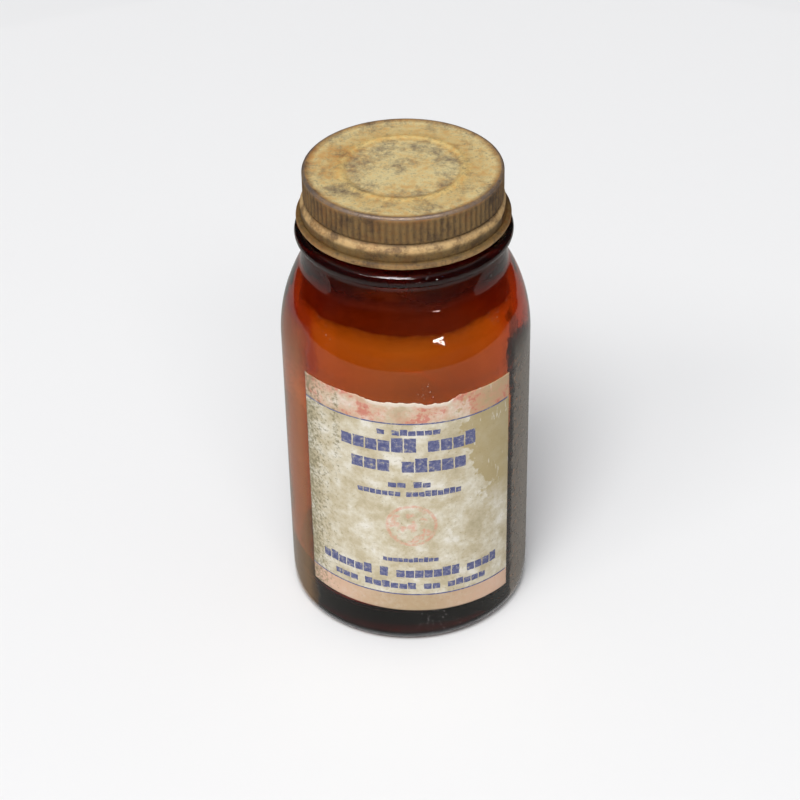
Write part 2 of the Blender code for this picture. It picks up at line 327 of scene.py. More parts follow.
def amber_glass():
    """Amber container glass, pressed and blown: clear orange-brown with a film of dust, pale specks, painted
    shade as a dark layer inside the neck, a tan film on the left flank and a strip of dark grime on the
    right."""
    made, tree, shader = new_finish("amber_glass")
    spot = node(tree, "ShaderNodeTexCoord").outputs["Object"]
    parts = node(tree, "ShaderNodeSeparateXYZ", {0: spot})
    front = node(tree, "ShaderNodeMath", {0: parts.outputs["Y"], 1: -1.0}, operation="MULTIPLY")
    turn = node(tree, "ShaderNodeMath", {0: parts.outputs["X"], 1: front}, operation="ARCTAN2")  # radians
    height = parts.outputs["Z"]
    reach = reach_from_axis(tree, parts)

    # grime strip: from azimuth 57 to about 95 degrees, below the shoulder, with a broken edge
    broken = node(tree, "ShaderNodeTexNoise", {"Vector": spot, "Scale": 420.0, "Detail": 6.0})
    edge = node(tree, "ShaderNodeMapRange", {"Value": broken, "To Min": -0.06, "To Max": 0.06})
    turn_edge = node(tree, "ShaderNodeMath", {0: turn, 1: edge}, operation="ADD")
    starts = node(tree, "ShaderNodeMapRange", {"Value": turn_edge, "From Min": 0.985, "From Max": 1.02})
    stray = node(tree, "ShaderNodeTexNoise", {"Vector": spot, "Scale": 55.0, "Detail": 4.0})
    far_edge = node(tree, "ShaderNodeMath", {0: stray, 1: 1.1, 2: turn_edge}, operation="MULTIPLY_ADD")
    ends = node(tree, "ShaderNodeMapRange", {"Value": far_edge, "From Min": 2.36, "From Max": 1.98})
    low_edge = node(tree, "ShaderNodeMath", {0: edge, 1: 0.05, 2: height}, operation="MULTIPLY_ADD")
    low_edge = node(tree, "ShaderNodeMath", {0: stray, 1: 0.016, 2: low_edge}, operation="MULTIPLY_ADD")
    below = node(tree, "ShaderNodeMapRange", {"Value": low_edge, "From Min": 0.077, "From Max": 0.068})
    strip = node(tree, "ShaderNodeMath", {0: starts, 1: ends}, operation="MULTIPLY")
    strip = node(tree, "ShaderNodeMath", {0: strip, 1: below}, operation="MULTIPLY")
    worn = node(tree, "ShaderNodeTexNoise", {"Vector": spot, "Scale": 900.0, "Detail": 3.0})
    worn = node(
        tree, "ShaderNodeMapRange", {"Value": worn, "From Min": 0.32, "From Max": 0.48, "To Min": 0.45}
    )
    grime = node(tree, "ShaderNodeMath", {0: strip, 1: worn}, operation="MULTIPLY")

    # dust: a faint even film, thicker in patches, and specks of about 0.2 mm
    cloud = node(tree, "ShaderNodeTexNoise", {"Vector": spot, "Scale": 60.0, "Detail": 8.0, "Roughness": 0.6})
    film = node(
        tree, "ShaderNodeMapRange", {"Value": cloud, "From Min": 0.4, "From Max": 0.75, "To Max": 0.004}
    )
    grains = node(tree, "ShaderNodeTexVoronoi", {"Vector": spot, "Scale": 1300.0})
    speck = node(
        tree, "ShaderNodeMapRange", {"Value": grains, "From Min": 0.16, "From Max": 0.08, "To Max": 0.7}
    )
    where = node(tree, "ShaderNodeTexNoise", {"Vector": spot, "Scale": 110.0, "Detail": 2.0})
    where = node(tree, "ShaderNodeMapRange", {"Value": where, "From Min": 0.60, "From Max": 0.70})
    speck = node(tree, "ShaderNodeMath", {0: speck, 1: where}, operation="MULTIPLY")
    dust = node(tree, "ShaderNodeMath", {0: film, 1: speck}, operation="MAXIMUM")

    # a milky tan film over the left flank, beyond the label, which makes it paler and browner
    near_side = node(tree, "ShaderNodeMapRange", {"Value": turn_edge, "From Min": -0.86, "From Max": -1.02})
    far_side = node(tree, "ShaderNodeMapRange", {"Value": turn_edge, "From Min": -2.1, "From Max": -1.7})
    up_to = node(
        tree, "ShaderNodeMapRange", {"Value": height, "From Min": 0.078, "From Max": 0.066, "To Max": 0.20}
    )
    tan_film = node(tree, "ShaderNodeMath", {0: near_side, 1: far_side}, operation="MULTIPLY")
    tan_film = node(tree, "ShaderNodeMath", {0: tan_film, 1: up_to}, operation="MULTIPLY")
    outer = node(tree, "ShaderNodeMapRange", {"Value": reach, "From Min": 0.0240, "From Max": 0.0246})
    tan_film = node(tree, "ShaderNodeMath", {0: tan_film, 1: outer}, operation="MULTIPLY")

    # painted shade: a dark layer on the inner face inside the neck and high in the shoulder, which makes the
    # bead read nearly black
    neck_shading = node(tree, "ShaderNodeAttribute", attribute_name="neck_shading").outputs["Fac"]
    uneven = node(
        tree, "ShaderNodeMapRange",
        {"Value": cloud, "From Min": 0.3, "From Max": 0.7, "To Min": 0.45, "To Max": 1.4}
    )
    neck_shade = node(tree, "ShaderNodeMath", {0: neck_shading, 1: uneven}, operation="MULTIPLY", use_clamp=True)
    dirt_and_neck_shade = node(tree, "ShaderNodeMath", {0: neck_shade, 1: grime}, operation="MAXIMUM")
    dirt_and_neck_shade = node(tree, "ShaderNodeMath", {0: dust, 1: dirt_and_neck_shade}, operation="MAXIMUM")
    dirt_and_neck_shade = node(tree, "ShaderNodeMath", {0: dirt_and_neck_shade, 1: tan_film}, operation="MAXIMUM")
    clear = node(tree, "ShaderNodeMath", {0: 1.0, 1: dirt_and_neck_shade}, operation="SUBTRACT")

    # the colour of each kind of dirt; grime is painted paler where it is seen aslant, a painted reflection
    shade = node(tree, "ShaderNodeMix", {0: dust, 6: "#ffffff", 7: "#cbbfae"}, data_type="RGBA")
    on_flank = node(tree, "ShaderNodeMapRange", {"Value": tan_film, "From Max": 0.05})
    shade = node(tree, "ShaderNodeMix", {0: on_flank, 6: shade, 7: "#d8a05c"}, data_type="RGBA")
    crumbs = node(tree, "ShaderNodeTexNoise", {"Vector": spot, "Scale": 1300.0, "Detail": 3.0})
    soil_and_sheen = node(
        tree, "ShaderNodeValToRGB", {0: crumbs},
        stops=((0.46, "#2b241e"), (0.58, "#44331f"), (0.68, "#a8662c"))
    )
    # painted reflection: the grime turns paler grey where it is seen aslant
    slant = node(tree, "ShaderNodeLayerWeight", {"Blend": 0.5}).outputs["Facing"]
    painted_sheen = node(
        tree, "ShaderNodeMapRange", {"Value": slant, "From Min": 0.35, "From Max": 0.80, "To Max": 0.9}
    )
    soil_and_sheen = node(tree, "ShaderNodeMix", {0: painted_sheen, 6: soil_and_sheen, 7: "#81786e"}, data_type="RGBA")
    edged = node(tree, "ShaderNodeMapRange", {"Value": grime, "From Max": 0.08})
    shade = node(tree, "ShaderNodeMix", {0: edged, 6: shade, 7: soil_and_sheen}, data_type="RGBA")
    # painted shade: dark maroon on the inner face of the neck and upper shoulder
    neck_shade_edge = node(tree, "ShaderNodeMapRange", {"Value": neck_shade, "From Max": 0.08})
    shade = node(tree, "ShaderNodeMix", {0: neck_shade_edge, 6: shade, 7: "#54200f"}, data_type="RGBA")
    rough = node(tree, "ShaderNodeMapRange", {"Value": dirt_and_neck_shade, "To Min": 0.015, "To Max": 0.35})
    feed(tree, shader, {"Base Color": shade, "Transmission Weight": clear, "Roughness": rough})
    shader.inputs["IOR"].default_value = GLASS_IOR

    depths = node(tree, "ShaderNodeVolumeAbsorption")
    depths.inputs["Color"].default_value = AMBER_LEAVES
    depths.inputs["Density"].default_value = AMBER_DENSITY
    feed(tree, tree.nodes["output"], {"Volume": depths})
    return made


def make_glass():
    shape = spun(glass_inside() + glass_outside(), GLASS_STEPS)
    bmesh.ops.recalc_face_normals(shape, faces=shape.faces)
    # how much painted shade each vertex of the inner face carries
    neck_shading = shape.verts.layers.float.new("neck_shading")
    for vertex in shape.verts:
        vertex[neck_shading] = painted_neck_shade(vertex.co)
        raise_thread(vertex)
        wave_inside(vertex)
    return piece("amber_bottle", shape, amber_glass(), "bottle", "bottle")


# ---------------------------------------------------------------- cap

SHEET = 0.28 * MM
FLUTES = 92
FLUTE_STEPS = 6
FLUTE_DEPTH = 0.24 * MM
CAP_CORNER = 0.6 * MM
GRIP_RADIUS = 19.9 * MM
GRIP_END = 5.6 * MM
PANEL_SINK = 0.35 * MM
PANEL_RING = 12.3 * MM  # middle of the raised ring round the sunken panel
RING_HALF_WIDTH = 0.9 * MM
GROOVE_DEPTH = 6.05 * MM
GROOVE_RADIUS = 19.3 * MM
SKIRT_START = 7.0 * MM
SKIRT_END = 9.5 * MM
SKIRT_RADIUS = 20.5 * MM
CURL_CENTRE_DEPTH = 10.05 * MM
CURL_INSIDE = 0.45 * MM
CURL_RADIUS = cap_high.x
PRESS_DEPTH = 1.9 * MM
PRESS_HALF_WIDTH = 1.4 * MM
PRESS_START_DEPTH = 8.4 * MM
PRESS_FROM = 65.0
PRESS_TURN = 225.0
RING_RISE = 0.22 * MM  # the raised ring stands this much over the flat round it
FINISH_DEPTH = 11 * MM  # over which the bands of rust on the cap's side run
LEDGE_LIGHT = ((0.55, 0.0), (0.60, 0.5), (0.67, 0.4), (0.73, 0.0), (0.90, 0.0), (1.0, 0.6))


def cap_outside():
    """The sheet's outer face from the middle of the top down to the rolled rim, in (r, depth)."""
    points = [(0.0, PANEL_SINK)]
    points += run(points[-1], (PANEL_RING - RING_HALF_WIDTH - MM, PANEL_SINK), 6)
    for step in range(1, 15):
        radius = PANEL_RING - RING_HALF_WIDTH - MM + step / 14 * (2 * RING_HALF_WIDTH + 2 * MM)
        away = (radius - PANEL_RING) / RING_HALF_WIDTH
        base = PANEL_SINK if away < 0 else RING_RISE
        crest = math.exp(-away * away * 1.6)
        points.append((radius, base * (1 - crest)))
    points += run(points[-1], (GRIP_RADIUS - CAP_CORNER - 0.9 * MM, 0.12 * MM), 4)
    points += run(points[-1], (GRIP_RADIUS - CAP_CORNER, 0.0), 2)
    points += [(r, -z) for r, z in arc((GRIP_RADIUS - CAP_CORNER, -CAP_CORNER), CAP_CORNER, 90, 0, 9)[1:]]
    points += run(points[-1], (GRIP_RADIUS, GRIP_END), 12)
    points += [(GRIP_RADIUS - 0.2 * MM, GRIP_END + 0.2 * MM)]
    points += arc((GROOVE_RADIUS + 0.42 * MM, GROOVE_DEPTH), 0.42 * MM, 150, 225, 4)
    bulge = SKIRT_START + 0.1 * MM
    points += run(points[-1], (SKIRT_RADIUS - 0.25 * MM, bulge - 0.15 * MM), 3)
    points += [(SKIRT_RADIUS, bulge + 0.2 * MM)]
    points += run(points[-1], (SKIRT_RADIUS - 0.08 * MM, SKIRT_END), 12)
    centre_radius = CURL_RADIUS - CURL_INSIDE - SHEET
    roll = arc((centre_radius, -CURL_CENTRE_DEPTH), CURL_INSIDE, 180, 475, 18)
    points += [(r, -z) for r, z in roll]
    return points


def press_share(turned):
    """How deep the rolled thread is this many degrees past its start."""
    return smooth(min(turned / 25, (PRESS_TURN - turned) / 50))


def press_thread(vertex):
    depth = TOP - vertex.co.z
    if not GROOVE_DEPTH <= depth <= SKIRT_END:
        return
    turned = (azimuth_of(vertex.co) - PRESS_FROM) % 360
    centre_depth = PRESS_START_DEPTH - THREAD_PITCH * turned / 360
    away = min(1.0, abs(depth - centre_depth) / PRESS_HALF_WIDTH)
    pressed = PRESS_DEPTH * press_share(turned) * math.cos(away * math.pi / 2) ** 2
    shrink = min(1.0, (SKIRT_RADIUS - pressed) / math.hypot(vertex.co.x, vertex.co.y))
    vertex.co.x *= shrink
    vertex.co.y *= shrink


def knurl(vertex, hollow):
    """Presses the grip band in between its ribs, fading out at the corner and above the groove."""
    depth = TOP - vertex.co.z
    if not 0.6 * MM < depth < GRIP_END + 0.3 * MM:
        return
    fade = smooth((depth - 0.6 * MM) / (1.1 * MM)) * smooth((GRIP_END + 0.3 * MM - depth) / (0.5 * MM))
    phase = math.radians(azimuth_of(vertex.co)) * FLUTES
    valley = (0.5 - 0.5 * math.cos(phase)) ** 1.5
    vertex[hollow] = fade * valley
    radius = math.hypot(vertex.co.x, vertex.co.y)
    shrink = 1 - FLUTE_DEPTH * fade * valley / radius
    vertex.co.x *= shrink
    vertex.co.y *= shrink


def knock(vertex):
    """Small dents from years of handling; every move is inwards, so the cap keeps its size."""
    sag = (0.5 + 0.5 * noise.noise(vertex.co / (9 * MM))) * 0.10 * MM
    fine = (0.5 + 0.5 * noise.noise(vertex.co / (2.2 * MM) + Vector((7, 3, 1)))) * 0.035 * MM
    radius = math.hypot(vertex.co.x, vertex.co.y)
    if radius < GRIP_RADIUS - MM:
        vertex.co.z -= sag + fine
    else:
        shrink = 1 - (0.4 * sag + fine) / radius
        vertex.co.x *= shrink
        vertex.co.y *= shrink


def rusted_tin():
    """Tinplate whose tin has gone dull and rusted through: a matt ochre bloom of rust, finely mottled,
    olive-grey where tin is left, purple-grey stains in the sunken panel, painted shade between the ribs, in
    the groove and on the skirt, painted light on the ledge and the raised ring, and a brighter orange painted
    highlight on the rolled rim."""
    made, tree, shader = new_finish("rusted_tinplate")
    spot = node(tree, "ShaderNodeTexCoord").outputs["Object"]
    parts = node(tree, "ShaderNodeSeparateXYZ", {0: spot})
    reach = reach_from_axis(tree, parts)
    broad = node(tree, "ShaderNodeTexNoise", {"Vector": spot, "Scale": 80.0, "Detail": 2.0, "Roughness": 0.5})
    fine = node(
        tree, "ShaderNodeTexNoise", {"Vector": spot, "Scale": 750.0, "Detail": 9.0, "Roughness": 0.85}
    )
    # the left of the cap is more orange, the right more olive
    lean = node(tree, "ShaderNodeMath", {0: parts.outputs["X"], 1: 2.0, 2: broad}, operation="MULTIPLY_ADD")
    mottle = node(tree, "ShaderNodeMath", {0: fine, 1: 2.2, 2: lean}, operation="MULTIPLY_ADD")
    mottle = node(tree, "ShaderNodeMapRange", {"Value": mottle, "From Min": 1.15, "From Max": 2.05})
    rust = node(
        tree,
        "ShaderNodeValToRGB",
        {0: mottle},
        stops=((0.10, "#c99656"), (0.30, "#d0ad70"), (0.50, "#dac48c"), (0.70, "#d8c896"), (0.90, "#bcb08a")),
    )
    # stains: more of them inside the panel
    stain = node(
        tree, "ShaderNodeTexNoise", {"Vector": spot, "Scale": 130.0, "Detail": 11.0, "Roughness": 0.84}
    )
    inside = node(tree, "ShaderNodeMapRange", {"Value": reach, "From Min": 11.4 * MM, "From Max": 10.8 * MM})
    level = node(tree, "ShaderNodeMath", {0: inside, 1: 0.03, 2: stain}, operation="MULTIPLY_ADD")
    stained = node(
        tree, "ShaderNodeMapRange", {"Value": level, "From Min": 0.49, "From Max": 0.63, "To Max": 0.85}
    )
    shade = node(tree, "ShaderNodeMix", {0: stained, 6: rust, 7: "#6d5d50"}, data_type="RGBA")
    pit_grain = node(
        tree, "ShaderNodeTexNoise", {"Vector": spot, "Scale": 1500.0, "Detail": 6.0, "Roughness": 0.75}
    )
    pits = node(
        tree, "ShaderNodeMapRange", {"Value": pit_grain, "From Min": 0.54, "From Max": 0.68, "To Max": 0.6}
    )
    shade = node(tree, "ShaderNodeMix", {0: pits, 6: shade, 7: "#6b4c30"}, data_type="RGBA")
    pale = node(
        tree, "ShaderNodeMapRange", {"Value": pit_grain, "From Min": 0.44, "From Max": 0.30, "To Max": 0.45}
    )
    shade = node(tree, "ShaderNodeMix", {0: pale, 6: shade, 7: "#dcc694"}, data_type="RGBA")
    # over the top: the raised ring is painted pale, partly wear and partly painted light, with painted shade
    # along its inner foot, and the top is darker towards its edge
    across = node(tree, "ShaderNodeMapRange", {"Value": reach, "From Min": 10 * MM, "From Max": 20 * MM})
    wear = node(
        tree,
        "ShaderNodeValToRGB",
        {0: across},
        stops=(
            (0.06, "#ffffff"),
            (0.13, "#e8dccb"),
            (0.19, "#fff6e0"),
            (0.28, "#fff4dc"),
            (0.36, "#f2eade"),
            (0.80, "#ffffff"),
            (0.90, "#cdb8a8"),
            (0.94, "#b59c8c"),
        ),
    )
    shade = node(tree, "ShaderNodeMix", {0: 1.0, 6: shade, 7: wear}, data_type="RGBA", blend_type="MULTIPLY")
    # from the top's edge down, painted light and shade over a slight olive tint: ribs and skirt darker, the
    # groove darkest, the ledge and rolled rim light
    down = {"Value": parts.outputs["Z"], "From Min": TOP, "From Max": TOP - FINISH_DEPTH}
    depth = node(tree, "ShaderNodeMapRange", down)
    band = node(
        tree,
        "ShaderNodeValToRGB",
        {0: depth},
        stops=(
            (0.05, "#ffffff"),
            (0.10, "#d8d8c4"),
            (0.49, "#d0d0b8"),
            (0.545, "#b4b29a"),
            (0.60, "#ffffff"),
            (0.66, "#fffff0"),
            (0.70, "#c8cab4"),
            (0.86, "#c0c0a8"),
            (0.90, "#fffdf0"),
            (1.00, "#fff0cc"),
        ),
    )
    shade = node(tree, "ShaderNodeMix", {0: 1.0, 6: shade, 7: band}, data_type="RGBA", blend_type="MULTIPLY")
    # painted light on the ledge under the ribs and a painted highlight on the lip of the curl, broken into
    # patches
    painted_ledge_light = node(tree, "ShaderNodeValToRGB", {0: depth}, stops=LEDGE_LIGHT)
    patchy = node(
        tree, "ShaderNodeMapRange", {"Value": stain, "From Min": 0.56, "From Max": 0.44, "To Min": 0.15}
    )
    painted_ledge_light = node(tree, "ShaderNodeMath", {0: painted_ledge_light, 1: patchy}, operation="MULTIPLY")
    shade = node(tree, "ShaderNodeMix", {0: painted_ledge_light, 6: shade, 7: "#ecca90"}, data_type="RGBA")
    # painted shade between the ribs, in patches
    hollow = node(tree, "ShaderNodeAttribute", attribute_name="hollow").outputs["Fac"]
    patchy_rib_shade = node(
        tree, "ShaderNodeMapRange",
        {"Value": stain, "From Min": 0.40, "From Max": 0.62, "To Min": 0.30, "To Max": 0.85}
    )
    rib_shade = node(tree, "ShaderNodeMath", {0: hollow, 1: patchy_rib_shade}, operation="MULTIPLY")
    shade = node(tree, "ShaderNodeMix", {0: rib_shade, 6: shade, 7: "#3d2c1e"}, data_type="RGBA")
    # the top's corner is rubbed down to dull metal, which catches the light in a thin line
    outer = node(tree, "ShaderNodeMapRange", {"Value": reach, "From Min": 19.1 * MM, "From Max": 19.4 * MM})
    upper = node(tree, "ShaderNodeMapRange", {"Value": depth, "From Min": 0.055, "From Max": 0.035})
    rubbed = node(tree, "ShaderNodeMath", {0: outer, 1: upper}, operation="MULTIPLY")
    ragged = node(
        tree, "ShaderNodeMapRange", {"Value": fine, "From Min": 0.62, "From Max": 0.45, "To Max": 0.85}
    )
    rubbed = node(tree, "ShaderNodeMath", {0: rubbed, 1: ragged}, operation="MULTIPLY")
    shade = node(tree, "ShaderNodeMix", {0: rubbed, 6: shade, 7: "#94877f"}, data_type="RGBA")
    rough = node(tree, "ShaderNodeMapRange", {"Value": rubbed, "To Min": 0.58, "To Max": 0.30})
    metal = node(tree, "ShaderNodeMapRange", {"Value": rubbed, "To Min": 0.10, "To Max": 0.85})
    lift = node(tree, "ShaderNodeMath", {0: pits, 1: -0.8, 2: fine}, operation="MULTIPLY_ADD")
    bump = node(tree, "ShaderNodeBump", {"Height": lift, "Strength": 0.7, "Distance": 0.2 * MM})
    feed(tree, shader, {"Base Color": shade, "Roughness": rough, "Metallic": metal, "Normal": bump})
    return made


def make_cap():
    profile = [(r, TOP - depth) for r, depth in cap_outside()]
    shape = spun(profile, FLUTES * FLUTE_STEPS)
    shape.normal_update()
    crown = max(shape.faces, key=lambda face: face.calc_center_median().z)
    if crown.normal.z < 0:
        bmesh.ops.reverse_faces(shape, faces=shape.faces)
    hollow = shape.verts.layers.float.new("hollow")
    for vertex in shape.verts:
        knurl(vertex, hollow)
        press_thread(vertex)
        knock(vertex)
    made = piece("tinplate_cap", shape, rusted_tin(), "cap", "cap_shell")
    gauge = made.modifiers.new("gauge", "SOLIDIFY")
    gauge.thickness = SHEET
    gauge.offset = -1.0
    return made


# ---------------------------------------------------------------- seal


def pulpboard():
    """Grey-brown pressed pulp, matt and fibrous."""
    made, tree, shader = new_finish("pulpboard")
    spot = node(tree, "ShaderNodeTexCoord").outputs["Object"]
    fibre = node(
        tree, "ShaderNodeTexNoise", {"Vector": spot, "Scale": 900.0, "Detail": 6.0, "Distortion": 1.5}
    )
    shade = node(
        tree, "ShaderNodeValToRGB", {0: fibre}, stops=((0.3, "#8f7a58"), (0.55, "#b39c76"), (0.8, "#c6b48f"))
    )
    bump = node(tree, "ShaderNodeBump", {"Height": fibre, "Strength": 0.5, "Distance": 0.1 * MM})
    feed(tree, shader, {"Base Color": shade, "Normal": bump, "Roughness": 0.95})
    return made


def waxed_paper():
    """Thin paper soaked with wax, yellowed, with a darker stained ring where it met the glass lip."""
    made, tree, shader = new_finish("waxed_paper")
    spot = node(tree, "ShaderNodeTexCoord").outputs["Object"]
    parts = node(tree, "ShaderNodeSeparateXYZ", {0: spot})
    reach = reach_from_axis(tree, parts)
    lip = {"Value": reach, "From Min": BORE_RADIUS - MM, "From Max": BORE_RADIUS + 0.4 * MM}
    ring = node(tree, "ShaderNodeMapRange", lip)
    stain = node(tree, "ShaderNodeTexNoise", {"Vector": spot, "Scale": 160.0, "Detail": 6.0})
    blotch = node(
        tree, "ShaderNodeValToRGB", {0: stain}, stops=((0.35, "#cbb98c"), (0.6, "#ddd0a8"), (0.8, "#b4935a"))
    )
    shade = node(tree, "ShaderNodeMix", {0: ring, 6: blotch, 7: "#8f6b3a"}, data_type="RGBA")
    feed(tree, shader, {"Base Color": shade, "Roughness": 0.38})
    return made


def make_disc(name, node_name, finish):
    """A round disc with softened edges in the space of its solid."""
    low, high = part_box(node_name)
    soft = min(0.15 * MM, (high.z - low.z) * 0.4)
    profile = [(0.0, low.z)] + run((0.0, low.z), (high.x - soft, low.z), 10)
    profile += arc((high.x - soft, low.z + soft), soft, -90, 0, 3)
    profile += arc((high.x - soft, high.z - soft), soft, 0, 90, 3)
    profile += run(profile[-1], (0.0, high.z), 6)
    shape = spun(profile, 128)
    bmesh.ops.recalc_face_normals(shape, faces=shape.faces)
    return piece(name, shape, finish, "seal", node_name)


# ---------------------------------------------------------------- label

LABEL_BOTTOM = 9.3 * MM
LABEL_HEIGHT = 54.6 * MM
LABEL_LEFT = -52.0
LABEL_RIGHT = 53.0
LABEL_SLOPE = -1.3 * MM  # the right edge sits this much lower than the left
FOOT_SLOPE = -1.9 * MM  # and its foot slopes this much more than its head
PAPER_BACK = BODY_RADIUS + 0.03 * MM
PAPER_THICKNESS = 0.10 * MM
LABEL_HALF = math.radians(LABEL_RIGHT - LABEL_LEFT) / 2 * BODY_RADIUS  # half its width along the paper
INK_THICKNESS = 0.012 * MM
RULES = (48.7 * MM, 4.4 * MM)  # the two thin lines, above the label's foot
RULE_HALF = 0.16 * MM
# rows of type: height of the row's foot, half its width, height of its tall blocks, blocks in each word
TYPE_ROWS = (
    (45.9 * MM, 6.4 * MM, 1.5 * MM, (1, 6)),
    (41.7 * MM, 14.2 * MM, 3.6 * MM, (6, 4)),
    (36.7 * MM, 12.0 * MM, 3.6 * MM, (3, 5)),
    (32.8 * MM, 4.4 * MM, 1.5 * MM, (2, 2)),
    (30.5 * MM, 10.8 * MM, 1.5 * MM, (7, 9)),
    (13.2 * MM, 5.8 * MM, 1.3 * MM, (11,)),
    (9.0 * MM, 19.8 * MM, 2.5 * MM, (6, 1, 7, 4)),
    (5.9 * MM, 16.8 * MM, 1.8 * MM, (3, 6, 2, 5)),
)
LABEL_COLUMNS = 170
LABEL_ROWS = 150


def label_point(x, y, lift=0.0):
    """A point on the paper's face, x to the right of the label's middle line and y above its foot."""
    radius = PAPER_BACK + PAPER_THICKNESS + lift
    middle = (LABEL_LEFT + LABEL_RIGHT) / 2
    slope = LABEL_SLOPE + FOOT_SLOPE * (1 - y / LABEL_HEIGHT)
    height = LABEL_BOTTOM + y + slope * x / (2 * LABEL_HALF)
    return place(middle + math.degrees(x / BODY_RADIUS), radius, height)


def torn_away(x):
    """1 along the torn middle of the upper edge, 0 where the edge is whole."""
    return smooth((x + 11 * MM) / (4 * MM)) * smooth((10.5 * MM - x) / (2.5 * MM))


def torn_top(x):
    """Height of the label's upper edge: nearly straight, ragged, and torn away right of the middle."""
    ragged = noise.noise(Vector((x / (1.1 * MM), 3.1, 0.0))) * 0.16 * MM
    ragged += noise.noise(Vector((x / (0.5 * MM), 9.4, 0.0))) * (0.06 + 0.12 * torn_away(x)) * MM
    step = 0.7 * MM + 0.5 * MM * smooth((x - 1 * MM) / (5 * MM))
    step += 0.5 * MM * noise.noise(Vector((x / (2.4 * MM), 0, 4)))
    return LABEL_HEIGHT - 0.15 * MM + ragged - torn_away(x) * step


def paper_lift(x, y):
    """Wrinkles and bubbles in the glued paper."""
    wide = noise.noise(Vector((x / (6 * MM), y / (9 * MM), 1.7)))
    fine = noise.noise(Vector((x / (1.6 * MM), y / (2.4 * MM), 5.2)))
    return max(0.0, wide) * 0.05 * MM + max(0.0, fine) * 0.02 * MM


